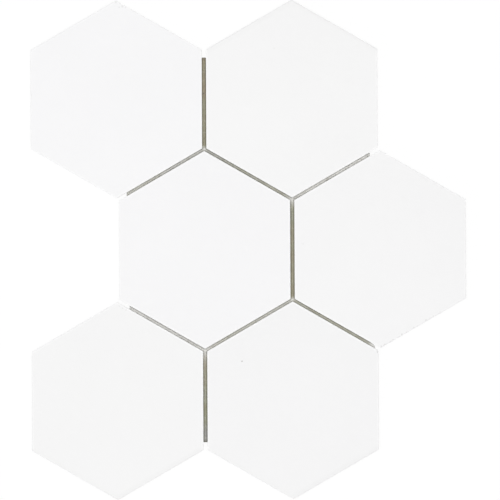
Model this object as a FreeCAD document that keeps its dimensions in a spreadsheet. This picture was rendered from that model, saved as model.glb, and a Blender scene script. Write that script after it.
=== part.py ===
import FreeCAD, Part
import math
import os
import Sketcher

# A mesh-backed sheet of six white marble hexagons, lying face up.
# Rows run along X, with row 1 at the far side (+Y). Row 2 steps half a pitch to the right.
# The origin is on the floor, under the middle of the sheet.

doc = FreeCAD.newDocument("HexagonSheet")
sizes = doc.addObject("Spreadsheet::Sheet", "Sizes")

# Driving dimensions in millimetres
driving = {
    "flat_width": 101.6,          # a tile across its flats
    "upright_joint": 2.5,         # gap between two tiles of a row
    "slanted_joint": 1.9,         # gap between two rows, square to their slanted edges
    "tile_thickness": 10.0,
    "arris_width": 0.5,           # bevel round the face of a tile
    "mesh_inset": 4.6,            # mesh edge inside the outer ends of the joints
    "yarn_spacing": 10.0,         # middle of one yarn to middle of the next, both ways
    "yarn_width": 1.4,
    "yarn_thickness": 0.5,
    "adhesive_thickness": 0.8,    # at the middle of a joint, above the mesh
    "adhesive_hollow": 2.4,       # radius of the adhesive's hollow top
}
for line, (alias, value) in enumerate(driving.items(), start=1):
    sizes.set(f"A{line}", alias)
    sizes.set(f"B{line}", str(value))
    sizes.setAlias(f"B{line}", alias)
doc.recompute()

# Each tile by its name, its place along X in pitches and its place along Y in rows.
tiles = [
    ("tile_row1_left", -0.75, 1),
    ("tile_row1_right", 0.25, 1),
    ("tile_row2_left", -0.25, 0),
    ("tile_row2_right", 0.75, 0),
    ("tile_row3_left", -0.75, -1),
    ("tile_row3_right", 0.25, -1),
]
# Each joint by its name, the middle of its length in pitches and rows, and its turn from the X axis.
joints = [
    ("far_upright", -0.25, 1, 90),
    ("middle_upright", 0.25, 0, 90),
    ("near_upright", -0.25, -1, 90),
    ("far_left_rising", -0.5, 0.5, 30),
    ("far_right_rising", 0.5, 0.5, 30),
    ("near_rising", 0, -0.5, 30),
    ("far_falling", 0, 0.5, -30),
    ("near_left_falling", -0.5, -0.5, -30),
    ("near_right_falling", 0.5, -0.5, -30),
]

# Lengths that follow from the driving dimensions
pitch = "(Sizes.flat_width + Sizes.upright_joint)"
row_pitch = f"((Sizes.flat_width + Sizes.slanted_joint - {pitch} / 4) * 2 / sqrt(3))"
wide_joint = "max(Sizes.upright_joint; Sizes.slanted_joint)"
side = "(Sizes.flat_width / sqrt(3))"
mesh_half_x = f"({pitch} / 4 + Sizes.flat_width / 2 - Sizes.mesh_inset)"
mesh_half_y = f"({row_pitch} + {side} / 2 - Sizes.mesh_inset)"
yarn_gaps_x = f"floor((2 * {mesh_half_x} - Sizes.yarn_width) / Sizes.yarn_spacing)"
yarn_gaps_y = f"floor((2 * {mesh_half_y} - Sizes.yarn_width) / Sizes.yarn_spacing)"
# The adhesive climbs the tile walls as far as its hollow top reaches.
adhesive_wall = (
    "(Sizes.adhesive_thickness + Sizes.adhesive_hollow"
    f" - sqrt(Sizes.adhesive_hollow ^ 2 - ({wide_joint} / 2) ^ 2))"
)
hollow_middle = "(Sizes.yarn_thickness + Sizes.adhesive_thickness + Sizes.adhesive_hollow)"
# Each hollow runs past the corners of its two tiles.
hollow_length = f"({side} + 4 * {wide_joint})"

hexagon_sides = 6
half_turn = 30
quarter_turn = 90


def size(alias):
    return float(sizes.get(alias))


def origin_part(body, role):
    return next(f for f in body.Origin.OriginFeatures if f.Role == role)


def floor_sketch(body, name):
    sketch = body.newObject("Sketcher::SketchObject", name)
    sketch.AttachmentSupport = (origin_part(body, "XY_Plane"), [""])
    sketch.MapMode = "FlatFace"
    sketch.Visibility = False
    return sketch


def closed_outline(sketch, points):
    corners = [FreeCAD.Vector(x, y, 0) for x, y in points]
    count = len(corners)
    for n, corner in enumerate(corners):
        sketch.addGeometry(Part.LineSegment(corner, corners[(n + 1) % count]), False)
    for n in range(count):
        sketch.addConstraint(Sketcher.Constraint("Coincident", n, 2, (n + 1) % count, 1))


def hexagon_outline(sketch):
    """Six equal sides round the origin, two of them upright."""
    radius = size("flat_width") / math.sqrt(3)
    turns = [math.radians(n * 2 * half_turn - half_turn) for n in range(hexagon_sides)]
    closed_outline(sketch, [(radius * math.cos(a), radius * math.sin(a)) for a in turns])
    sketch.addConstraint(Sketcher.Constraint("Vertical", 0))
    for n in range(hexagon_sides):
        index = sketch.addConstraint(Sketcher.Constraint("Distance", n, 1, -1, 1, radius))
        sketch.setExpression(f"Constraints[{index}]", side)
    for n in range(1, hexagon_sides):
        sketch.addConstraint(Sketcher.Constraint("Equal", 0, n))


def yarn_outline(sketch, left, right, near, far):
    """An upright rectangle. Each edge is driven by its own distance expression from the origin."""
    closed_outline(sketch, [(-1, -1), (1, -1), (1, 1), (-1, 1)])
    for line, kind in enumerate(["Horizontal", "Vertical", "Horizontal", "Vertical"]):
        sketch.addConstraint(Sketcher.Constraint(kind, line))
    places = [("DistanceX", 0, left), ("DistanceX", 2, right), ("DistanceY", 0, near), ("DistanceY", 2, far)]
    for kind, line, expression in places:
        index = sketch.addConstraint(Sketcher.Constraint(kind, -1, 1, line, 1, 1.0))
        sketch.setExpression(f"Constraints[{index}]", expression)


def make_tile(name, across, row):
    body = doc.addObject("PartDesign::Body", name)
    outline = floor_sketch(body, f"{name}_outline")
    hexagon_outline(outline)
    slab = body.newObject("PartDesign::Pad", f"{name}_slab")
    slab.Profile = outline
    slab.setExpression("Length", "Sizes.tile_thickness")
    doc.recompute()
    face_edges = [
        f"Edge{n}"
        for n, edge in enumerate(slab.Shape.Edges, start=1)
        if edge.BoundBox.ZMin > size("tile_thickness") / 2
    ]
    arris = body.newObject("PartDesign::Chamfer", f"{name}_arris")
    arris.Base = (slab, face_edges)
    arris.setExpression("Size", "Sizes.arris_width")
    body.setExpression("Placement.Base.x", f"{pitch} * {across}")
    body.setExpression("Placement.Base.y", f"{row_pitch} * {row}")
    body.setExpression("Placement.Base.z", "Sizes.yarn_thickness")
    return body


def add_yarns(body, name, edges, axis, gaps):
    """The first yarn and its copies along one axis, a spacing apart."""
    outline = floor_sketch(body, f"{name}_outline")
    yarn_outline(outline, *edges)
    yarn = body.newObject("PartDesign::Pad", f"{name}_yarn")
    yarn.Profile = outline
    yarn.setExpression("Length", "Sizes.yarn_thickness")
    doc.recompute()
    row = body.newObject("PartDesign::LinearPattern", f"{name}_yarns")
    row.Refine = False
    row.Originals = [yarn]
    row.Direction = (origin_part(body, axis), [""])
    row.setExpression("Length", f"{gaps} * Sizes.yarn_spacing")
    row.setExpression("Occurrences", f"{gaps} + 1")
    body.Tip = row
    doc.recompute()
    return row


def make_mesh(name):
    body = doc.addObject("PartDesign::Body", name)
    first_x = f"-{yarn_gaps_x} * Sizes.yarn_spacing / 2"
    first_y = f"-{yarn_gaps_y} * Sizes.yarn_spacing / 2"
    half_yarn = "Sizes.yarn_width / 2"
    warp = (f"{first_x} - {half_yarn}", f"{first_x} + {half_yarn}", f"-{mesh_half_y}", mesh_half_y)
    weft = (f"-{mesh_half_x}", mesh_half_x, f"{first_y} - {half_yarn}", f"{first_y} + {half_yarn}")
    add_yarns(body, "warp", warp, "X_Axis", yarn_gaps_x)
    add_yarns(body, "weft", weft, "Y_Axis", yarn_gaps_y)
    return body


def make_adhesive(name):
    """A block as large as the mesh, less the six tiles and a hollow along each joint."""
    block = doc.addObject("Part::Box", f"{name}_block")
    block.setExpression("Length", f"2 * {mesh_half_x}")
    block.setExpression("Width", f"2 * {mesh_half_y}")
    block.setExpression("Height", adhesive_wall)
    block.setExpression("Placement.Base.x", f"-{mesh_half_x}")
    block.setExpression("Placement.Base.y", f"-{mesh_half_y}")
    block.setExpression("Placement.Base.z", "Sizes.yarn_thickness")
    cutters = []
    for tile, across, row in tiles:
        space = doc.addObject("Part::Prism", f"{tile}_space")
        space.Polygon = hexagon_sides
        space.setExpression("Circumradius", side)
        space.setExpression("Height", "Sizes.tile_thickness")
        space.Placement.Rotation = FreeCAD.Rotation(FreeCAD.Vector(0, 0, 1), half_turn)
        space.setExpression("Placement.Base.x", f"{pitch} * {across}")
        space.setExpression("Placement.Base.y", f"{row_pitch} * {row}")
        space.setExpression("Placement.Base.z", "Sizes.yarn_thickness")
        cutters.append(space)
    for joint, across, row, turn in joints:
        hollow = doc.addObject("Part::Cylinder", f"{joint}_hollow")
        hollow.setExpression("Radius", "Sizes.adhesive_hollow")
        hollow.setExpression("Height", hollow_length)
        lay_down = FreeCAD.Rotation(FreeCAD.Vector(0, 1, 0), quarter_turn)
        aim = FreeCAD.Rotation(FreeCAD.Vector(0, 0, 1), turn)
        hollow.Placement.Rotation = aim * lay_down
        start = f"{hollow_length} / 2"
        hollow.setExpression("Placement.Base.x", f"{pitch} * {across} - cos({turn} deg) * {start}")
        hollow.setExpression("Placement.Base.y", f"{row_pitch} * {row} - sin({turn} deg) * {start}")
        hollow.setExpression("Placement.Base.z", hollow_middle)
        cutters.append(hollow)
    spaces = doc.addObject("Part::MultiFuse", f"{name}_spaces")
    spaces.Shapes = cutters
    web = doc.addObject("Part::Cut", name)
    web.Base = block
    web.Tool = spaces
    web.Refine = True
    return web


parts = [make_tile(*entry) for entry in tiles]
parts.append(make_mesh("backing_mesh"))
parts.append(make_adhesive("joint_adhesive"))
doc.recompute()

for item in doc.Objects:
    if "Invalid" in item.State or "Error" in item.State:
        raise RuntimeError(f"{item.Name} didn't build: {item.State}")
os.makedirs("parts", exist_ok=True)
for item in parts:
    item.Label = item.Name
    if item.Shape.isNull() or not item.Shape.isValid() or len(item.Shape.Solids) != 1:
        raise RuntimeError(f"{item.Label} isn't one sound solid")
    item.Shape.exportStep(f"parts/{item.Label}.step")
    box = item.Shape.BoundBox
    print(item.Label, round(item.Shape.Volume, 1), box)
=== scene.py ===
import math

import bmesh
import bpy
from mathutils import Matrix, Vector


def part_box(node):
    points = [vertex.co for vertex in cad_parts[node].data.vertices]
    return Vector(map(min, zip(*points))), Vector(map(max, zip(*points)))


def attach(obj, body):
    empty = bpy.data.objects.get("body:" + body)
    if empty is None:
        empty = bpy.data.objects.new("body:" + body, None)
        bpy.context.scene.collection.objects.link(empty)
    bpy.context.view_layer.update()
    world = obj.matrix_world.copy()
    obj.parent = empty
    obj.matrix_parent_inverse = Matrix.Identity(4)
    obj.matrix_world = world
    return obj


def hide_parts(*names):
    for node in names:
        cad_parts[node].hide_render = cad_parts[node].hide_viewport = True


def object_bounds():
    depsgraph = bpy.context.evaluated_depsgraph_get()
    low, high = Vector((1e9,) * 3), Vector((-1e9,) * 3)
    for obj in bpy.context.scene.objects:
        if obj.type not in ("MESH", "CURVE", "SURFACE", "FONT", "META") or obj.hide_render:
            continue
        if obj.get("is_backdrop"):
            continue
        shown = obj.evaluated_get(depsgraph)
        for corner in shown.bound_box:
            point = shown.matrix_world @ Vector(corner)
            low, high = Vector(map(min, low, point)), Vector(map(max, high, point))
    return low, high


# A mesh-backed sheet of six white marble hexagons, seen from straight above.
# Everything is in metres. +Z is the face of the tiles and +Y the far row.

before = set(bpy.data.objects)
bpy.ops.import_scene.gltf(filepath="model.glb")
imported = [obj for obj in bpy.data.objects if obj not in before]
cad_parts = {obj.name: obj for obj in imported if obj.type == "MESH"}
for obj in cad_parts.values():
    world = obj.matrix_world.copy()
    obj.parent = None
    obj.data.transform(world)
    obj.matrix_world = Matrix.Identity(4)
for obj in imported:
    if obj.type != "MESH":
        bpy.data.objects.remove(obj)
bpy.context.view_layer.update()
scene = bpy.context.scene
mm = 0.001
hair = 0.01 * mm  # two heights or ends this near count as one
nearlyZero = 1e-9  # for a cross product that should be nothing
print("frame loaded")


# Modelling helpers

def deselectAll():
    if bpy.context.mode != "OBJECT":
        bpy.ops.object.mode_set(mode="OBJECT")
    bpy.ops.object.select_all(action="DESELECT")


def pick(*pieces):
    deselectAll()
    for piece in pieces:
        piece.select_set(True)
    bpy.context.view_layer.objects.active = pieces[0]


def choose(piece, kind, test):
    # leaves the piece in edit mode with only what passes the test selected
    pick(piece)
    bpy.ops.object.mode_set(mode="EDIT")
    bpy.ops.mesh.select_mode(type=kind)
    bpy.ops.mesh.select_all(action="DESELECT")
    shape = bmesh.from_edit_mesh(piece.data)
    for item in {"VERT": shape.verts, "EDGE": shape.edges, "FACE": shape.faces}[kind]:
        if test(item):
            item.select_set(True)
    shape.select_flush_mode()
    bmesh.update_edit_mesh(piece.data)


def chooseAll(piece):
    choose(piece, "FACE", lambda face: True)


def applyPlace():
    bpy.ops.object.transform_apply(location=True, rotation=True, scale=True)
    return bpy.context.object


def finishModifier(piece, kind, **values):
    modifier = piece.modifiers.new(kind.lower(), kind)
    for name, value in values.items():
        setattr(modifier, name, value)
    pick(piece)
    bpy.ops.object.modifier_apply(modifier=modifier.name)


def cloudTexture(name, size, depth=2):
    texture = bpy.data.textures.new(name, "CLOUDS")
    texture.noise_scale = size
    texture.noise_depth = depth
    return texture


def markVertices(piece, name, test):
    group = piece.vertex_groups.new(name=name)
    group.add([v.index for v in piece.data.vertices if test(v.co)], 1.0, "REPLACE")
    return group.name


def smoothShade(piece, degrees):
    pick(piece)
    bpy.ops.object.shade_smooth_by_angle(angle=math.radians(degrees))


def finishPiece(piece, node, material):
    piece.data.materials.clear()
    piece.data.materials.append(material)
    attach(piece, "root")
    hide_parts(node)


# Material helpers

noiseRange = (0.3, 0.7)  # nearly all of a noise lies between these
narrowRange = (0.35, 0.65)  # a ramp over this has more contrast


def addNode(tree, kind, values=None, **settings):
    node = tree.nodes.new("ShaderNode" + kind)
    for name, value in settings.items():
        setattr(node, name, value)
    for key, value in (values or {}).items():
        if isinstance(value, bpy.types.NodeSocket):
            tree.links.new(value, node.inputs[key])
        else:
            node.inputs[key].default_value = value
    return node


def maths(tree, operation, first, second=0.0, third=0.0):
    return addNode(tree, "Math", {0: first, 1: second, 2: third}, operation=operation).outputs[0]


def vectorMaths(tree, operation, first, second, output="Vector"):
    node = addNode(tree, "VectorMath", {0: first, 1: second}, operation=operation)
    return node.outputs[output]


def scaleColour(tree, colour, factor):
    return addNode(tree, "VectorMath", {0: colour, "Scale": factor}, operation="SCALE").outputs[0]


def ramp(tree, value, low, high, outLow=0.0, outHigh=1.0):
    node = addNode(tree, "MapRange", {0: value, 1: low, 2: high, 3: outLow, 4: outHigh}, clamp=True)
    return node.outputs[0]


def mixColour(tree, factor, first, second):
    node = addNode(tree, "Mix", {0: factor, 6: first, 7: second}, data_type="RGBA")
    return node.outputs[2]


def mixValue(tree, factor, first, second):
    return addNode(tree, "Mix", {0: factor, 2: first, 3: second}).outputs[0]


def noise(tree, place, scale, detail=3.0, roughness=0.5, stretch=None):
    if stretch:
        place = addNode(tree, "Mapping", {0: place, 3: stretch}).outputs[0]
    values = {"Vector": place, "Scale": scale, "Detail": detail, "Roughness": roughness}
    return addNode(tree, "TexNoise", values).outputs[0]


def attribute(tree, name, output="Fac"):
    return addNode(tree, "Attribute", attribute_name=name).outputs[output]


def newGroup(name, inputs, outputs):
    group = bpy.data.node_groups.new(name, "ShaderNodeTree")
    for side, sockets in (("INPUT", inputs), ("OUTPUT", outputs)):
        for label, kind in sockets.items():
            group.interface.new_socket(label, in_out=side, socket_type="NodeSocket" + kind)
    return group, group.nodes.new("NodeGroupInput").outputs, group.nodes.new("NodeGroupOutput").inputs


def placeGroup(tree, group, values):
    return addNode(tree, "Group", values, node_tree=group).outputs


def newMaterial(name):
    material = bpy.data.materials.new(name)
    material.use_nodes = True
    tree = material.node_tree
    return material, tree, tree.nodes["Principled BSDF"]


def finishSurface(tree, surface, colour, roughness, height, strength, distance):
    bump = addNode(tree, "Bump", {"Strength": strength, "Distance": distance, "Height": height})
    tree.links.new(colour, surface.inputs["Base Color"])
    tree.links.new(roughness, surface.inputs["Roughness"])
    tree.links.new(bump.outputs[0], surface.inputs["Normal"])


# Tiles: sawn and honed slabs with an eased face edge

tileShape = {
    "arrisWidth": 0.5 * mm,
    "arrisDepth": 0.16 * mm,
    "arrisSteps": 3,
    "cornerEase": 0.15 * mm,
    "cornerSteps": 2,
    "backEase": 0.12 * mm,
    "edgeBand": 0.8 * mm,
    "edgeCuts": 47,
    "longEdge": 20 * mm,
    "wander": 0.035 * mm,
    "wanderSize": 2.2 * mm,
    # how far past the arris the painted light on it starts
    "paintedLightRim": 0.1 * mm,
    "flakeZone": 2 * mm,
    "smoothAngle": 32,
    "levelNormal": 0.9999,
}
# Each tile by its node and its turn, in sixths, so that no two edges wander alike
tileTurns = {
    "tile_row1_left": 0,
    "tile_row1_right": 2,
    "tile_row2_left": 5,
    "tile_row2_right": 1,
    "tile_row3_left": 3,
    "tile_row3_right": 4,
}
# The ways out through a tile's six edges, anticlockwise from the right
edgeDirections = [Vector((math.cos(n * math.pi / 3), math.sin(n * math.pi / 3))) for n in range(6)]
sixthTurn = 60
neighbourReach = 1.5  # in tile widths, between the middles of two tiles with a joint
sameWay = 0.99  # two directions whose product is above this are taken as one
# Outer edges painted a little darker over their last millimetres, as painted shade: the tile and the way
# out in degrees, how much they darken, and between which distances from the edge
darkEdges = {
    ("tile_row1_right", 60): 0.030,
    ("tile_row1_right", 120): 0.035,
    ("tile_row2_right", 300): 0.010,
    ("tile_row3_left", 240): 0.025,
    ("tile_row3_left", 300): 0.055,
    ("tile_row3_right", 240): 0.010,
    ("tile_row3_right", 300): 0.050,
}
darkEdgeReach = (3.4 * mm, 0.7 * mm)
# How much painted light, in place of its shade, each arris keeps: beside a joint, on an outer edge and on
# a dark outer edge
arrisLightShares = {"joint": 1.0, "outer": 0.55, "dark": 0.1}


def tileMiddle(node):
    low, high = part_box(node)
    return Vector(((low.x + high.x) / 2, (low.y + high.y) / 2))


def makeBlankTile(size):
    low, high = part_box("tile_row1_left")
    faceLine = high.z - hair
    backLine = low.z + hair
    bpy.ops.mesh.primitive_cylinder_add(
        vertices=6, radius=(high.y - low.y) / 2, depth=high.z - low.z,
        location=(0, 0, (high.z + low.z) / 2),
    )
    tile = bpy.context.object
    tile.name = "blankTile"
    applyPlace()
    # the arris, rounded first and then pressed flatter
    choose(tile, "EDGE", lambda e: min(v.co.z for v in e.verts) > faceLine)
    bpy.ops.mesh.bevel(offset=size["arrisWidth"], segments=size["arrisSteps"], affect="EDGES")
    choose(tile, "VERT", lambda v: v.co.z > high.z - size["arrisWidth"] * 1.1)
    flatter = size["arrisDepth"] / size["arrisWidth"]
    bpy.ops.transform.resize(value=(1, 1, flatter), center_override=(0, 0, high.z))
    choose(tile, "EDGE", lambda e: max(v.co.z for v in e.verts) < backLine)
    bpy.ops.mesh.bevel(offset=size["backEase"], segments=1, affect="EDGES")
    # a band beside the arris, over which its painted light fades out
    choose(tile, "FACE", lambda f: min(v.co.z for v in f.verts) > faceLine)
    bpy.ops.mesh.inset(thickness=size["edgeBand"])
    # the six corner lines, from the back up over the arris and across the band
    choose(tile, "EDGE", lambda e: abs(e.verts[0].co.cross(e.verts[1].co).z) < nearlyZero)
    bpy.ops.mesh.bevel(offset=size["cornerEase"], segments=size["cornerSteps"], affect="EDGES")
    choose(tile, "VERT", lambda v: v.co.z > faceLine)
    bpy.ops.transform.resize(value=(1, 1, 0), center_override=(0, 0, high.z))
    chooseAll(tile)
    wallLine = high.z - size["arrisDepth"] - size["edgeBand"]
    bpy.ops.mesh.bisect(plane_co=(0, 0, wallLine), plane_no=(0, 0, 1))
    choose(tile, "EDGE", lambda e: e.calc_length() > size["longEdge"])
    bpy.ops.mesh.subdivide(number_cuts=size["edgeCuts"])
    # the face and the back as fans, so that no triangle is empty
    choose(tile, "FACE", lambda f: len(f.verts) > size["edgeCuts"])
    bpy.ops.mesh.poke()
    deselectAll()
    arrisBottom = high.z - size["arrisDepth"] * 0.9
    arris = markVertices(tile, "arris", lambda co: arrisBottom < co.z < faceLine)
    finishModifier(
        tile, "DISPLACE", texture=cloudTexture("arrisWander", size["wanderSize"]), mid_level=1.0,
        strength=size["wander"], vertex_group=arris, texture_coords="LOCAL",
    )
    # painted light on the arris, lifting it against the shade of its slope
    paintedArrisLights = tile.data.attributes.new("bruise", "FLOAT", "POINT")
    paintedLightStart = (high.y - low.y) / 2 * math.sqrt(3) / 2 - size["arrisWidth"] - size["paintedLightRim"]
    paintedLightBottom = high.z - size["arrisDepth"] * 1.5
    for vertex in tile.data.vertices:
        outwards = max(vertex.co.xy.dot(direction) for direction in edgeDirections)
        onArris = outwards > paintedLightStart and vertex.co.z > paintedLightBottom
        paintedArrisLights.data[vertex.index].value = 1.0 if onArris else 0.0
    return tile


def placeTile(blank, node, turns):
    low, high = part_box(node)
    middle = (low + high) / 2
    pick(blank)
    bpy.ops.object.duplicate()
    tile = bpy.context.object
    words = node.split("_")
    tile.name = words[0] + "".join(word.capitalize() for word in words[1:])
    tile.rotation_euler.z = turns * math.pi / 3
    tile.location = (middle.x, middle.y, 0)
    return applyPlace()


def edgeKinds(node):
    low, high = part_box(node)
    others = [tileMiddle(other) - tileMiddle(node) for other in tileTurns if other != node]
    reach = (high.x - low.x) * neighbourReach
    joined = [apart.normalized() for apart in others if apart.length < reach]
    kinds = []
    for n, direction in enumerate(edgeDirections):
        kind = "dark" if (node, n * sixthTurn) in darkEdges else "outer"
        if any(direction.dot(other) > sameWay for other in joined):
            kind = "joint"
        kinds.append(kind)
    return kinds


# painted light on each arris, kept by the kind of its edge
def paintArrisLight(tile, node):
    here = tileMiddle(node)
    kinds = edgeKinds(node)
    paintedArrisLights = tile.data.attributes["bruise"].data
    for vertex in tile.data.vertices:
        reaches = [(vertex.co.xy - here).dot(direction) for direction in edgeDirections]
        kind = kinds[reaches.index(max(reaches))]
        paintedArrisLights[vertex.index].value *= arrisLightShares[kind]


# Flakes off the face edge and one pit, each as the ball that cuts it:
# the tile, its place from the tile's middle, the ball's radius and how deep it bites, in mm
nicks = [
    ("tile_row2_right", (2.5, -57.2), 1.2, 0.50),
    ("tile_row2_right", (6.3, -55.0), 1.6, 0.42),
    ("tile_row2_right", (11.4, -52.1), 1.0, 0.36),
    ("tile_row2_right", (16.0, -49.4), 2.0, 0.45),
    ("tile_row2_right", (22.2, -45.8), 1.1, 0.34),
    ("tile_row2_right", (29.5, -41.6), 1.5, 0.42),
    ("tile_row2_right", (35.8, -38.0), 1.1, 0.36),
    ("tile_row3_right", (50.6, 28.9), 1.5, 0.85),
    ("tile_row3_right", (-30.2, 23.3), 0.9, 0.15),
]


def nickTile(tile, node, size):
    low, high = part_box(node)
    middle = (low + high) / 2
    flakeStart = (high.x - low.x) / 2 - size["flakeZone"]
    balls = []
    for owner, (x, y), radius, bite in nicks:
        if owner != node:
            continue
        spot = Vector((x * mm, y * mm, 0))
        edgeDistance = max(spot.xy.dot(direction) for direction in edgeDirections)
        outward = spot.normalized() if edgeDistance > flakeStart else Vector((0, 0, 0))
        lift = (outward + Vector((0, 0, 1))).normalized() * (radius - bite) * mm
        centre = Vector((middle.x, middle.y, high.z)) + spot + lift
        bpy.ops.mesh.primitive_ico_sphere_add(subdivisions=3, radius=radius * mm, location=centre)
        balls.append(bpy.context.object)
    if not balls:
        return
    pick(*balls)
    if len(balls) > 1:
        bpy.ops.object.join()
    cutter = applyPlace()
    finishModifier(tile, "BOOLEAN", operation="DIFFERENCE", object=cutter, solver="EXACT")
    bpy.data.objects.remove(cutter)


blankTile = makeBlankTile(tileShape)
tiles = {}
for node, turns in tileTurns.items():
    tile = placeTile(blankTile, node, turns)
    paintArrisLight(tile, node)
    nickTile(tile, node, tileShape)
    smoothShade(tile, tileShape["smoothAngle"])
    choose(tile, "FACE", lambda f: abs(f.normal.z) > tileShape["levelNormal"])
    bpy.ops.mesh.faces_shade_flat()
    tiles[node] = tile
deselectAll()
bpy.data.objects.remove(blankTile)
print("six tiles cut, eased and nicked")


# Backing: a glass mesh, two twisted strands gripping each cross yarn

meshShape = {
    "spacing": 10 * mm,
    "yarnSides": 6,
    "crossWidth": 1.3 * mm,
    "crossThickness": 0.17 * mm,
    "crossRings": 2,
    "strandWidth": 0.62 * mm,
    "strandThickness": 0.17 * mm,
    "strandRings": 6,
    "twist": 0.3 * mm,
    "wander": 0.5 * mm,
    "wanderSize": 45 * mm,
    "cutTolerance": 0.001 * mm,
    "smoothAngle": 50,
}


def makeYarn(length, width, thickness, along, rings, middle):
    turn = (0, math.pi / 2, 0) if along == "X" else (math.pi / 2, 0, 0)
    bpy.ops.mesh.primitive_cylinder_add(
        vertices=meshShape["yarnSides"], radius=0.5, depth=length, end_fill_type="NOTHING",
        rotation=turn,
    )
    yarn = bpy.context.object
    applyPlace()
    yarn.scale = (1, width, thickness) if along == "X" else (width, 1, thickness)
    yarn.location.z = middle
    applyPlace()
    choose(yarn, "EDGE", lambda e: e.calc_length() > length * 0.9)
    bpy.ops.mesh.subdivide(number_cuts=rings - 1)
    deselectAll()
    return yarn


def makeMesh(size):
    low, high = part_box("backing_mesh")
    spacing = size["spacing"]
    middle = (low.z + high.z) / 2
    swing = (high.z - low.z - size["strandThickness"]) / 2
    cross = makeYarn(
        spacing, size["crossWidth"], size["crossThickness"], "X", size["crossRings"], middle
    )
    strands = []
    rings = size["strandRings"]
    for side in (1, -1):
        strand = makeYarn(spacing, size["strandWidth"], size["strandThickness"], "Y", rings, middle)
        for ring in range(rings + 1):
            y = (ring / rings - 0.5) * spacing
            turn = 2 * math.pi * y / spacing
            choose(strand, "VERT", lambda v: abs(v.co.y - y) < hair)
            shift = (side * size["twist"] * math.sin(turn), 0, side * swing * math.cos(turn))
            bpy.ops.transform.translate(value=shift)
        deselectAll()
        strands.append(strand)
    pick(cross, *strands)
    bpy.ops.object.join()
    mesh = bpy.context.object
    mesh.name = "backingMesh"
    counts = [int((high[n] - low[n] - size["crossWidth"]) / spacing) + 1 for n in (0, 1)]
    mesh.location = (-(counts[0] - 1) * spacing / 2, -(counts[1] - 1) * spacing / 2, 0)
    applyPlace()
    for n, offset in ((0, (spacing, 0, 0)), (1, (0, spacing, 0))):
        finishModifier(
            mesh, "ARRAY", count=counts[n], use_relative_offset=False, use_constant_offset=True,
            constant_offset_displace=offset, use_merge_vertices=True, merge_threshold=hair,
        )
    for axis in "XY":
        finishModifier(
            mesh, "DISPLACE", texture=cloudTexture("wander" + axis, size["wanderSize"], 1),
            direction=axis, mid_level=0.5, strength=size["wander"], texture_coords="LOCAL",
        )
    # cut to the sheet's size, with every yarn end closed
    for corner, side in ((high, 1), (low, -1)):
        for outwards in ((side, 0, 0), (0, side, 0)):
            chooseAll(mesh)
            bpy.ops.mesh.bisect(
                plane_co=corner, plane_no=outwards, use_fill=True, clear_outer=True,
                threshold=size["cutTolerance"],
            )
    smoothShade(mesh, size["smoothAngle"])
    return mesh


backing = makeMesh(meshShape)
print("backing mesh woven:", len(backing.data.polygons), "faces")


# Adhesive that rose into the joints

adhesiveShape = {
    "mergeReach": 0.001 * mm,
    "fineness": 0.28 * mm,
    "smoothing": 0.5,
    "smoothPasses": 3,
    "lumps": 0.35 * mm,
    "lumpSize": 4.5 * mm,
    "ripples": 0.14 * mm,
    "rippleSize": 1.1 * mm,
    "trough": 0.25 * mm,
    "troughPlace": 0.7 * mm,
    "troughReach": 0.45 * mm,
    "jointBlend": 0.8 * mm,
    "jointOffset": 0.3,  # between the streaks of one joint and the next
    "meetingPaleness": 0.85,
    "meetingPower": 2,
    "endReach": 5 * mm,
    "endWidth": 1.9 * mm,
    "endNarrowing": 1.0 * mm,
    "endPaleness": 1.0,
    "endPaleReach": 1.3,  # in shifts of the end
    "endPower": 4,
}
# The two tiles beside each joint, then its look at the left end and at the right end, as seen from
# the first tile: a tone from 0, pale, to 1, dark, and a warmth from -1, grey, over 0, olive, to 1, brown
jointLooks = [
    ("tile_row1_left", "tile_row1_right", (1.0, 0.85), (0.93, 0.2)),
    ("tile_row2_left", "tile_row2_right", (0.93, 0.1), (0.95, 0.5)),
    ("tile_row3_left", "tile_row3_right", (0.84, 0.7), (0.99, -0.8)),
    ("tile_row1_left", "tile_row2_left", (0.38, -0.8), (0.38, 0.2)),
    ("tile_row1_right", "tile_row2_right", (0.0, 0.0), (0.16, 0.3)),
    ("tile_row2_left", "tile_row3_right", (0.39, -0.2), (0.42, 0.1)),
    ("tile_row1_right", "tile_row2_left", (0.62, 0.3), (0.66, -0.6)),
    ("tile_row2_left", "tile_row3_left", (0.11, 0.0), (0.0, 0.0)),
    ("tile_row2_right", "tile_row3_right", (0.68, 0.0), (0.65, 0.3)),
]
# Where three tiles meet the adhesive is paler, over a reach in mm
meetings = [
    (("tile_row1_left", "tile_row1_right", "tile_row2_left"), 1.2),
    (("tile_row1_right", "tile_row2_left", "tile_row2_right"), 3.8),
    (("tile_row2_left", "tile_row2_right", "tile_row3_right"), 1.2),
    (("tile_row2_left", "tile_row3_left", "tile_row3_right"), 5.4),
]
# Open ends that stop short of the mesh's edge, or run on past it, narrow and turn pale:
# the two tiles and the shift in mm
openEnds = [
    ("tile_row2_left", "tile_row3_left", -1.7),
    ("tile_row2_right", "tile_row3_right", 3.4),
]


def jointPlaces():
    # the middle of each joint, the ways across and along it, half its length and its two looks
    places = []
    for first, second, leftLook, rightLook in jointLooks:
        start, end = tileMiddle(first), tileMiddle(second)
        across = (end - start).normalized()
        along = Vector((across.y, -across.x))
        half = (end - start).length / math.sqrt(3) / 2
        places.append(((start + end) / 2, across, along, half, leftLook, rightLook))
    return places


def meetingPlaces(size):
    # pale spots, each as its middle, its reach, how sharply it ends and how pale it is
    places = []
    for nodes, reach in meetings:
        middle = sum((tileMiddle(node) for node in nodes), Vector((0, 0))) / len(nodes)
        places.append((middle, reach * mm, size["meetingPower"], size["meetingPaleness"]))
    return places


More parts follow.
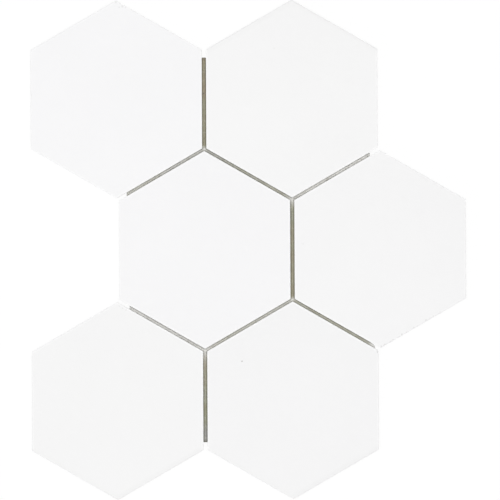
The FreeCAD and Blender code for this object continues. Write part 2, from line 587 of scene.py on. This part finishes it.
def openEndPlaces():
    # where each strip ends on the mesh's edge, the way out along it, the way across it and its shift
    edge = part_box("joint_adhesive")[1].x
    places = []
    for first, second, shift in openEnds:
        start, end = tileMiddle(first), tileMiddle(second)
        middle = (start + end) / 2
        across = (end - start).normalized()
        outwards = Vector((across.y, -across.x))
        if outwards.x * middle.x < 0:
            outwards = -outwards
        tip = middle + outwards * (edge - abs(middle.x)) / abs(outwards.x)
        places.append((tip, outwards, across, shift * mm))
    return places


def slideVertices(piece, shares, slide):
    # the group is kept by its name, because applying a modifier ends the group's own handle
    group = piece.vertex_groups.new(name="slide")
    name = group.name
    for index, share in shares.items():
        group.add([index], share, "REPLACE")
    for axis, part in zip("XY", slide):
        finishModifier(
            piece, "DISPLACE", direction=axis, mid_level=0.0, strength=part, vertex_group=name
        )


def shiftOpenEnd(adhesive, tip, outwards, across, shift, size):
    # the end slides along its joint, and where it runs on it narrows towards the second tile
    onwards, sideways = {}, {}
    for vertex in adhesive.data.vertices:
        apart = vertex.co.xy - tip
        beside = apart.dot(across)
        share = min(1.0, 1 + apart.dot(outwards) / size["endReach"])
        if share > 0 and abs(beside) < size["endReach"] / 2:
            onwards[vertex.index] = share
            farSide = max(0.0, 0.5 - beside / size["endWidth"])
            sideways[vertex.index] = share ** size["endPower"] * farSide
    slideVertices(adhesive, onwards, outwards * shift)
    if shift > 0:
        slideVertices(adhesive, sideways, across * size["endNarrowing"])


def adhesiveAt(spot, places, paleSpots, size):
    # tone and warmth at a spot, and how far it lies across and along its joint
    tone = warmth = weight = 0.0
    nearest = None
    for index, (middle, across, along, half, leftLook, rightLook) in enumerate(places):
        apart = spot - middle
        beside, onward = apart.dot(across), apart.dot(along)
        away = abs(beside) + max(0.0, abs(onward) - half)
        share = min(1.0, max(0.0, onward / half / 2 + 0.5))
        near = math.exp(-away / size["jointBlend"])
        tone += near * (leftLook[0] + (rightLook[0] - leftLook[0]) * share)
        warmth += near * (leftLook[1] + (rightLook[1] - leftLook[1]) * share)
        weight += near
        if nearest is None or away < nearest[0]:
            nearest = (away, beside, onward + index * size["jointOffset"])
    paleness = max(
        pale * math.exp(-((spot - centre).length / reach) ** power)
        for centre, reach, power, pale in paleSpots
    )
    tone *= (1 - paleness) / weight
    return tone, warmth / weight, nearest[1], nearest[2]


def makeAdhesive(size):
    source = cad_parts["joint_adhesive"]
    low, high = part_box("joint_adhesive")
    topLine = (low.z + high.z) / 2
    adhesive = bpy.data.objects.new("jointAdhesive", source.data.copy())
    scene.collection.objects.link(adhesive)
    chooseAll(adhesive)
    bpy.ops.mesh.remove_doubles(threshold=size["mergeReach"])
    deselectAll()
    finishModifier(adhesive, "REMESH", mode="VOXEL", voxel_size=size["fineness"])
    finishModifier(adhesive, "SMOOTH", factor=size["smoothing"], iterations=size["smoothPasses"])
    places, paleSpots = jointPlaces(), meetingPlaces(size)
    for tip, outwards, across, shift in openEndPlaces():
        shiftOpenEnd(adhesive, tip, outwards, across, shift, size)
        if shift > 0:
            reach = shift * size["endPaleReach"]
            paleSpots.append((tip + outwards * shift, reach, size["endPower"], size["endPaleness"]))
    looks = [adhesiveAt(v.co.xy, places, paleSpots, size) for v in adhesive.data.vertices]
    top = markVertices(adhesive, "top", lambda co: co.z > topLine)
    # a bead along the middle of each joint, with a trough on either side
    troughs = adhesive.vertex_groups.new(name="troughs")
    for vertex, (tone, warmth, beside, onward) in zip(adhesive.data.vertices, looks):
        depth = 1 - abs(abs(beside) - size["troughPlace"]) / size["troughReach"]
        if vertex.co.z > topLine and depth > 0:
            troughs.add([vertex.index], depth, "REPLACE")
    finishModifier(
        adhesive, "DISPLACE", direction="Z", mid_level=0.0, strength=-size["trough"],
        vertex_group=troughs.name,
    )
    for name in ("lump", "ripple"):
        texture = cloudTexture(name, size[name + "Size"])
        finishModifier(
            adhesive, "DISPLACE", texture=texture, direction="Z", mid_level=0.5,
            strength=size[name + "s"], vertex_group=top, texture_coords="LOCAL",
        )
    pick(adhesive)
    bpy.ops.object.shade_smooth()
    attributes = adhesive.data.attributes
    for name, kind in (("tone", "FLOAT"), ("warmth", "FLOAT"), ("run", "FLOAT_VECTOR")):
        attributes.new(name, kind, "POINT")
    tones, warmths, runs = (attributes[name].data for name in ("tone", "warmth", "run"))
    for index, (tone, warmth, beside, onward) in enumerate(looks):
        tones[index].value = tone
        warmths[index].value = warmth
        runs[index].vector = (beside, onward, 0)
    return adhesive


adhesive = makeAdhesive(adhesiveShape)
print("joint adhesive cast:", len(adhesive.data.polygons), "faces")


# Marble: nearly even white, with crystal grain, painted light on the arris, sawn walls and a sawn back

marbleLook = {
    "white": (0.925, 0.923, 0.929, 1),
    # the lighter white is painted on the arris as light, against its shade
    "bruise": (0.985, 0.985, 0.985, 1),
    "sawn": (0.86, 0.855, 0.845, 1),
    "glue": (0.66, 0.62, 0.50, 1),
    # the grey of specks and dirt, and of the painted shade along some edges
    "pit": (0.45, 0.44, 0.42, 1),
    "cloudScale": 16.0,
    "cloudAmount": 0.006,
    "crystalScale": 900.0,
    "crystalAmount": 0.006,
    "crystalRoughness": 0.08,
    "honedRoughness": 0.55,
    "grainScale": 2200.0,
    "grainHeight": 0.12,
    "arrisLightPatchScale": 700.0,
    "arrisLightLeast": 0.6,
    "wallFacing": (0.25, 0.1),  # the normal's upward part, from honed to sawn
    "wallLines": (60, 60, 2600),
    "backFacing": (-0.5, -0.8),
    "backLines": (14, 1500, 14),
    "sawAmount": 0.03,
    "sawnRoughness": 0.72,
    "glueScale": 260.0,
    "glueWobble": 0.9 * mm,
    "glueEdge": (1.9 * mm, 1.4 * mm),
    "glueAmount": 0.75,
    "glueRoughness": 0.3,
    "glueHeight": 0.9,
    "bump": (0.35, 0.06 * mm),
    "ior": 1.49,
    "tileShift": (0.31, -0.17, 0.05),
}
# How each tile departs from the white, by its node
tileTints = {
    "tile_row1_left": (1.007, 1.007, 1.009, 1),
    "tile_row1_right": (1.000, 1.001, 0.995, 1),
    "tile_row2_left": (1.000, 0.999, 1.001, 1),
    "tile_row2_right": (0.995, 0.995, 0.991, 1),
    "tile_row3_left": (0.985, 0.986, 0.980, 1),
    "tile_row3_right": (0.982, 0.982, 0.979, 1),
}
# Dark specks, dirt and faint grey patches on the faces, and painted shade along one edge:
# the tile, the place from its middle and the radius in mm, and the strength
marks = [
    ("tile_row3_right", (-30.4, 23.3), 0.5, 0.65),
    ("tile_row3_right", (-30.0, 23.3), 0.5, 0.65),
    ("tile_row3_right", (50.3, 28.4), 0.7, 0.40),
    ("tile_row1_left", (0.0, 57.6), 0.9, 0.22),
    ("tile_row1_left", (3.9, 55.2), 1.0, 0.24),
    ("tile_row1_left", (2.1, 54.7), 0.6, 0.18),
    ("tile_row1_left", (5.6, 54.5), 0.6, 0.18),
    ("tile_row1_right", (-10.4, 30.0), 0.7, 0.10),
    ("tile_row2_right", (-45.8, 3.3), 0.9, 0.08),
    ("tile_row2_right", (25.3, 42.4), 2.2, 0.04),
    ("tile_row2_right", (27.7, 41.2), 2.2, 0.04),
    ("tile_row2_right", (32.5, 38.9), 2.0, 0.03),
    ("tile_row2_right", (36.9, 36.6), 1.8, 0.05),
    ("tile_row2_right", (0.4, -57.8), 0.8, 0.35),
    ("tile_row2_right", (2.4, -56.6), 0.7, 0.30),
    ("tile_row2_right", (7.4, -53.7), 0.7, 0.26),
    ("tile_row2_right", (12.6, -50.7), 0.8, 0.32),
    ("tile_row2_right", (19.7, -46.6), 0.7, 0.24),
    ("tile_row2_right", (26.9, -42.4), 0.8, 0.26),
    ("tile_row2_right", (31.2, -40.0), 0.6, 0.26),
    ("tile_row2_right", (35.3, -37.6), 0.6, 0.22),
    # painted shade along the upper right edge of this tile, beside the open end of its joint with
    # tile_row2_left
    ("tile_row3_left", (1.2, 56.4), 0.5, 0.24),
    ("tile_row3_left", (3.1, 55.2), 0.5, 0.26),
    ("tile_row3_left", (5.2, 54.0), 0.5, 0.22),
]
markShape = {
    "raggedScale": 1400.0,
    "ragged": 0.25 * mm,
    "core": 0.3,  # of the radius, at full strength
}


def makeMarbleGroup(look):
    tree, given, out = newGroup(
        "honedMarble",
        {"Place": "Vector", "Facing": "Vector", "Shift": "Vector", "Tint": "Color", "Bruise": "Float"},
        {"Color": "Color", "Roughness": "Float", "Height": "Float"},
    )
    place = vectorMaths(tree, "ADD", given["Place"], given["Shift"])
    facing = addNode(tree, "SeparateXYZ", {0: given["Facing"]}).outputs[2]
    clouds = ramp(tree, noise(tree, place, look["cloudScale"], 4.0), *noiseRange, -1.0, 1.0)
    cells = addNode(tree, "TexVoronoi", {"Vector": place, "Scale": look["crystalScale"]}).outputs["Color"]
    crystals = ramp(tree, addNode(tree, "SeparateColor", {0: cells}).outputs[0], 0.0, 1.0, -0.5, 0.5)
    tone = maths(tree, "MULTIPLY_ADD", clouds, look["cloudAmount"], 1.0)
    tone = maths(tree, "MULTIPLY_ADD", crystals, look["crystalAmount"], tone)
    white = vectorMaths(tree, "MULTIPLY", look["white"][:3], given["Tint"])
    # the arris painted lighter in patches, a painted highlight against its shade
    patches = noise(tree, place, look["arrisLightPatchScale"], 2.0)
    patchyArrisLight = ramp(tree, patches, *noiseRange, look["arrisLightLeast"], 1.0)
    colour = mixColour(tree, maths(tree, "MULTIPLY", given["Bruise"], patchyArrisLight), white, look["bruise"])
    # sawn walls with fine lines along the cut, and a back with long saw marks
    wallLines = noise(tree, place, 1.0, 3.0, 0.6, look["wallLines"])
    backLines = noise(tree, place, 1.0, 3.0, 0.6, look["backLines"])
    wall = ramp(tree, maths(tree, "ABSOLUTE", facing), *look["wallFacing"])
    back = ramp(tree, facing, *look["backFacing"])
    sawn = maths(tree, "MAXIMUM", wall, back)
    colour = mixColour(tree, sawn, colour, look["sawn"])
    lines = mixValue(tree, back, wallLines, backLines)
    streaks = maths(tree, "MULTIPLY", ramp(tree, lines, *noiseRange, -1.0, 1.0), sawn)
    tone = maths(tree, "MULTIPLY_ADD", streaks, look["sawAmount"], tone)
    # adhesive that holds the mesh to the back, beside each yarn
    axes = addNode(tree, "SeparateXYZ", {0: given["Place"]}).outputs
    blotches = noise(tree, given["Place"], look["glueScale"], 3.0)
    wobble = ramp(tree, blotches, *noiseRange, -look["glueWobble"], look["glueWobble"])
    spacing = meshShape["spacing"]
    reach = [maths(tree, "PINGPONG", axes[n], spacing / 2) for n in (0, 1)]
    nearest = maths(tree, "ADD", maths(tree, "MINIMUM", reach[0], reach[1]), wobble)
    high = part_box("backing_mesh")[1]
    inside = [maths(tree, "LESS_THAN", maths(tree, "ABSOLUTE", axes[n]), high[n]) for n in (0, 1)]
    film = ramp(tree, nearest, *look["glueEdge"])
    for limit in (*inside, back):
        film = maths(tree, "MULTIPLY", film, limit)
    colour = mixColour(tree, maths(tree, "MULTIPLY", film, look["glueAmount"]), colour, look["glue"])
    honed = maths(tree, "MULTIPLY_ADD", crystals, look["crystalRoughness"], look["honedRoughness"])
    roughness = mixValue(tree, sawn, honed, look["sawnRoughness"])
    roughness = mixValue(tree, film, roughness, look["glueRoughness"])
    grain = maths(tree, "MULTIPLY", noise(tree, place, look["grainScale"], 2.0), look["grainHeight"])
    height = mixValue(tree, film, mixValue(tree, sawn, grain, lines), look["glueHeight"])
    tree.links.new(scaleColour(tree, colour, tone), out["Color"])
    tree.links.new(roughness, out["Roughness"])
    tree.links.new(height, out["Height"])
    return tree


def markMask(tree, place, spots):
    # ragged spots, each as its middle, its radius and its strength
    ragged = markShape["ragged"]
    uneven = ramp(tree, noise(tree, place, markShape["raggedScale"], 2.0), *noiseRange, -ragged, ragged)
    mask = 0.0
    for middle, radius, strength in spots:
        apart = vectorMaths(tree, "DISTANCE", place, middle, "Value")
        core = radius * markShape["core"]
        spot = ramp(tree, maths(tree, "ADD", apart, uneven), radius, core, 0.0, strength)
        mask = maths(tree, "MAXIMUM", mask, spot)
    return mask


def tileMarks(node):
    middle = tileMiddle(node).to_3d()
    middle.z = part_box(node)[1].z
    return [
        (middle + Vector((x * mm, y * mm, 0)), radius * mm, strength)
        for owner, (x, y), radius, strength in marks if owner == node
    ]


# painted shade along the darker outer edges
def edgeMask(tree, place, node):
    low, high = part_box(node)
    start, end = darkEdgeReach
    mask = 0.0
    for (owner, turn), strength in darkEdges.items():
        if owner != node:
            continue
        outwards = edgeDirections[turn // sixthTurn]
        along = vectorMaths(tree, "DOT_PRODUCT", place, outwards.to_3d(), "Value")
        edge = tileMiddle(node).dot(outwards) + (high.x - low.x) / 2
        mask = maths(tree, "MAXIMUM", mask, ramp(tree, along, edge - start, edge - end, 0.0, strength))
    return mask


def makeMarble(name, group, look, node, shift):
    material, tree, surface = newMaterial(name)
    where = addNode(tree, "TexCoord").outputs
    place = where["Object"]
    made = placeGroup(tree, group, {
        "Place": place, "Facing": where["Normal"], "Shift": shift, "Tint": tileTints[node],
        "Bruise": attribute(tree, "bruise"),
    })
    # dark specks and dirt, and the painted shade of the darker edges, in one grey
    dirtAndPaintedShade = maths(tree, "MAXIMUM", markMask(tree, place, tileMarks(node)), edgeMask(tree, place, node))
    colour = mixColour(tree, dirtAndPaintedShade, made["Color"], look["pit"])
    finishSurface(tree, surface, colour, made["Roughness"], made["Height"], *look["bump"])
    surface.inputs["IOR"].default_value = look["ior"]
    return material


honedMarble = makeMarbleGroup(marbleLook)
for index, (node, tile) in enumerate(tiles.items()):
    shift = tuple(part * index for part in marbleLook["tileShift"])
    name = tile.name.replace("tile", "marble")
    finishPiece(tile, node, makeMarble(name, honedMarble, marbleLook, node, shift))


# Speckle shared by the adhesive and the yarns

speckleLook = {
    "detail": 4.0,
    "roughness": 0.6,
    "light": (0.54, 0.68),
    "dark": (0.46, 0.32),
}


def makeSpeckle(look):
    tree, given, out = newGroup(
        "speckle", {"Place": "Vector", "Scale": "Float"}, {"Light": "Float", "Dark": "Float"}
    )
    spots = noise(tree, given["Place"], given["Scale"], look["detail"], look["roughness"])
    tree.links.new(ramp(tree, spots, *look["light"]), out["Light"])
    tree.links.new(ramp(tree, spots, *look["dark"]), out["Dark"])
    return tree


adhesiveLook = {
    "pale": (0.90, 0.893, 0.868, 1),
    "grey": (0.37, 0.365, 0.345, 1),
    "olive": (0.365, 0.365, 0.236, 1),
    "brown": (0.395, 0.330, 0.225, 1),
    "light": (0.84, 0.83, 0.78, 1),
    "dirt": (0.30, 0.285, 0.22, 1),
    "soot": (0.13, 0.125, 0.11, 1),
    "patchLines": (60, 70, 1),
    "patchAmount": 0.45,
    "streakLines": (1500, 90, 1),
    "streakShades": (0.94, 1.06),
    # painted shade across each joint, lighter over its middle and darker to either side
    "paintedShadeEdge": (0.2 * mm, 0.65 * mm),
    "paintedShadeLevels": (1.12, 0.86),
    "wallEdge": (0.75 * mm, 1.1 * mm),
    "wallShades": (1.0, 1.14),
    "speckleScale": 420.0,
    "speckleAmounts": (0.5, 0.22),  # where pale and where dark
    "grainScale": 900.0,
    "roughness": (0.38, 0.55),
    "bump": (0.5, 0.15 * mm),
    # dark spots: the top end of the upper upright joint's strip, the bottom end of the lower one, and a
    # dot in the upper one
    "spots": [
        ((-26.2 * mm, 114.3 * mm, 1 * mm), 2.3 * mm, 0.5),
        ((-26.0 * mm, -114.4 * mm, 1 * mm), 2.3 * mm, 0.6),
        ((-26.35 * mm, 92.9 * mm, 1.2 * mm), 0.8 * mm, 0.6),
    ],
}
yarnLook = {
    "glass": (0.80, 0.79, 0.74, 1),
    "glued": (0.66, 0.62, 0.50, 1),
    "dark": (0.58, 0.56, 0.50, 1),
    "fibreLines": (70, 3, 1),
    "fibreEdge": (0.5, 0.3),
    "fibreAmount": 0.6,
    "speckleScale": 130.0,
    "gluedAmount": 0.7,
    "roughness": (0.55, 0.3),
    "bump": (0.6, 0.05 * mm),
}


def makeAdhesiveMaterial(speckle, look):
    material, tree, surface = newMaterial("curedAdhesive")
    place = addNode(tree, "TexCoord").outputs["Object"]
    tone = attribute(tree, "tone")
    run = attribute(tree, "run", "Vector")
    # patches along the joint, streaks drawn out with it, and painted shade across it: lighter over the
    # middle, darker to either side and lighter again beside the walls
    most = look["patchAmount"]
    patches = noise(tree, run, 1.0, 3.0, 0.6, look["patchLines"])
    patches = ramp(tree, patches, *narrowRange, -most, most)
    streaks = noise(tree, run, 1.0, 2.0, 0.5, look["streakLines"])
    streaks = ramp(tree, streaks, *narrowRange, *look["streakShades"])
    beside = maths(tree, "ABSOLUTE", addNode(tree, "SeparateXYZ", {0: run}).outputs[0])
    paintedShadeAcross = ramp(tree, beside, *look["paintedShadeEdge"], *look["paintedShadeLevels"])
    paintedShadeAcross = maths(tree, "MULTIPLY", paintedShadeAcross, ramp(tree, beside, *look["wallEdge"], *look["wallShades"]))
    warm = maths(tree, "ADD", attribute(tree, "warmth"), patches)
    cool = mixColour(tree, ramp(tree, warm, -1.0, 0.0), look["grey"], look["olive"])
    dark = mixColour(tree, ramp(tree, warm, 0.0, 1.0), cool, look["brown"])
    colour = mixColour(tree, tone, look["pale"], dark)
    colour = scaleColour(tree, colour, maths(tree, "MULTIPLY", paintedShadeAcross, streaks))
    spots = placeGroup(tree, speckle, {"Place": place, "Scale": look["speckleScale"]})
    calm = ramp(tree, tone, 0.0, 1.0, *look["speckleAmounts"])
    colour = mixColour(tree, maths(tree, "MULTIPLY", spots["Light"], calm), colour, look["light"])
    colour = mixColour(tree, maths(tree, "MULTIPLY", spots["Dark"], calm), colour, look["dirt"])
    colour = mixColour(tree, markMask(tree, place, look["spots"]), colour, look["soot"])
    roughness = ramp(tree, patches, -most, most, *look["roughness"])
    grain = noise(tree, place, look["grainScale"], 3.0)
    finishSurface(tree, surface, colour, roughness, grain, *look["bump"])
    return material


def makeYarnMaterial(speckle, look):
    material, tree, surface = newMaterial("glassYarn")
    where = addNode(tree, "TexCoord").outputs
    fibres = noise(tree, where["UV"], 1.0, 3.0, 0.6, look["fibreLines"])
    spots = placeGroup(tree, speckle, {"Place": where["Object"], "Scale": look["speckleScale"]})
    glued = maths(tree, "MULTIPLY", spots["Light"], look["gluedAmount"])
    colour = mixColour(tree, glued, look["glass"], look["glued"])
    shaded = ramp(tree, fibres, *look["fibreEdge"], 0.0, look["fibreAmount"])
    colour = mixColour(tree, shaded, colour, look["dark"])
    roughness = ramp(tree, spots["Light"], 0.0, 1.0, *look["roughness"])
    finishSurface(tree, surface, colour, roughness, fibres, *look["bump"])
    return material


speckle = makeSpeckle(speckleLook)
finishPiece(adhesive, "joint_adhesive", makeAdhesiveMaterial(speckle, adhesiveLook))
finishPiece(backing, "backing_mesh", makeYarnMaterial(speckle, yarnLook))
print("materials made")


# Floor, light and camera

studio = {
    "floorSize": 8.0,
    "floorColour": (0.9, 0.9, 0.9, 1),
    "floorRoughness": 0.9,
    "floorGlow": 1.02,
    "floorSeen": 0.91,
    "worldLight": 0.47,
    "cameraHeight": 10.0,
    "cameraPlace": (0.85 * mm, -0.2 * mm),
    "cameraTurn": math.radians(-0.26),
    "frameWidth": 296.5 * mm,
    "sensorWidth": 36,
    "farClip": 100,
}
# Two soft boxes: one high above, so that light reaches the bottoms of the joints,
# and one low at the left
softBoxes = {
    "topLight": {"place": (0, 0, 2.5), "size": 0.45, "power": 25.5},
    "keyLight": {"place": (-0.85, -0.75, 1.25), "size": 0.9, "power": 3.0},
}


def seenDirectly(tree):
    rays = addNode(tree, "LightPath").outputs
    seen = maths(tree, "MAXIMUM", rays["Is Camera Ray"], rays["Is Glossy Ray"])
    return maths(tree, "MAXIMUM", seen, rays["Is Transmission Ray"])


def makeFloor(size):
    bpy.ops.mesh.primitive_plane_add(size=size["floorSize"])
    floor = bpy.context.object
    floor.name = "floor"
    material, tree, surface = newMaterial("paleFloor")
    surface.inputs["Base Color"].default_value = size["floorColour"]
    surface.inputs["Roughness"].default_value = size["floorRoughness"]
    glow = addNode(tree, "Emission", {"Strength": size["floorGlow"]})
    share = maths(tree, "MULTIPLY", seenDirectly(tree), size["floorSeen"])
    mixed = addNode(tree, "MixShader", {0: share, 1: surface.outputs[0], 2: glow.outputs[0]})
    tree.links.new(mixed.outputs[0], tree.nodes["Material Output"].inputs[0])
    floor.data.materials.append(material)
    floor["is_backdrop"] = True


def makeLight(size):
    world = bpy.data.worlds.new("studio")
    scene.world = world
    world.use_nodes = True
    tree = world.node_tree
    background = tree.nodes["Background"]
    background.inputs["Color"].default_value = (1, 1, 1, 1)
    strength = mixValue(tree, seenDirectly(tree), size["worldLight"], 1.0)
    tree.links.new(strength, background.inputs["Strength"])
    for name, box in softBoxes.items():
        bpy.ops.object.light_add(type="AREA", location=box["place"])
        light = bpy.context.object
        light.name = name
        light.data.energy = box["power"]
        light.data.size = box["size"]
        light.visible_camera = False
        light.rotation_euler = (-Vector(box["place"])).to_track_quat("-Z", "Y").to_euler()


def makeCamera(size):
    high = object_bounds()[1]
    place = (*size["cameraPlace"], size["cameraHeight"])
    bpy.ops.object.camera_add(location=place, rotation=(0, 0, size["cameraTurn"]))
    camera = bpy.context.object
    camera.name = "camera"
    camera.data.sensor_width = size["sensorWidth"]
    camera.data.lens = size["sensorWidth"] * (size["cameraHeight"] - high.z) / size["frameWidth"]
    camera.data.clip_end = size["farClip"]
    scene.camera = camera


makeFloor(studio)
makeLight(studio)
makeCamera(studio)
scene.view_settings.view_transform = "Standard"
print("floor, light and camera placed")
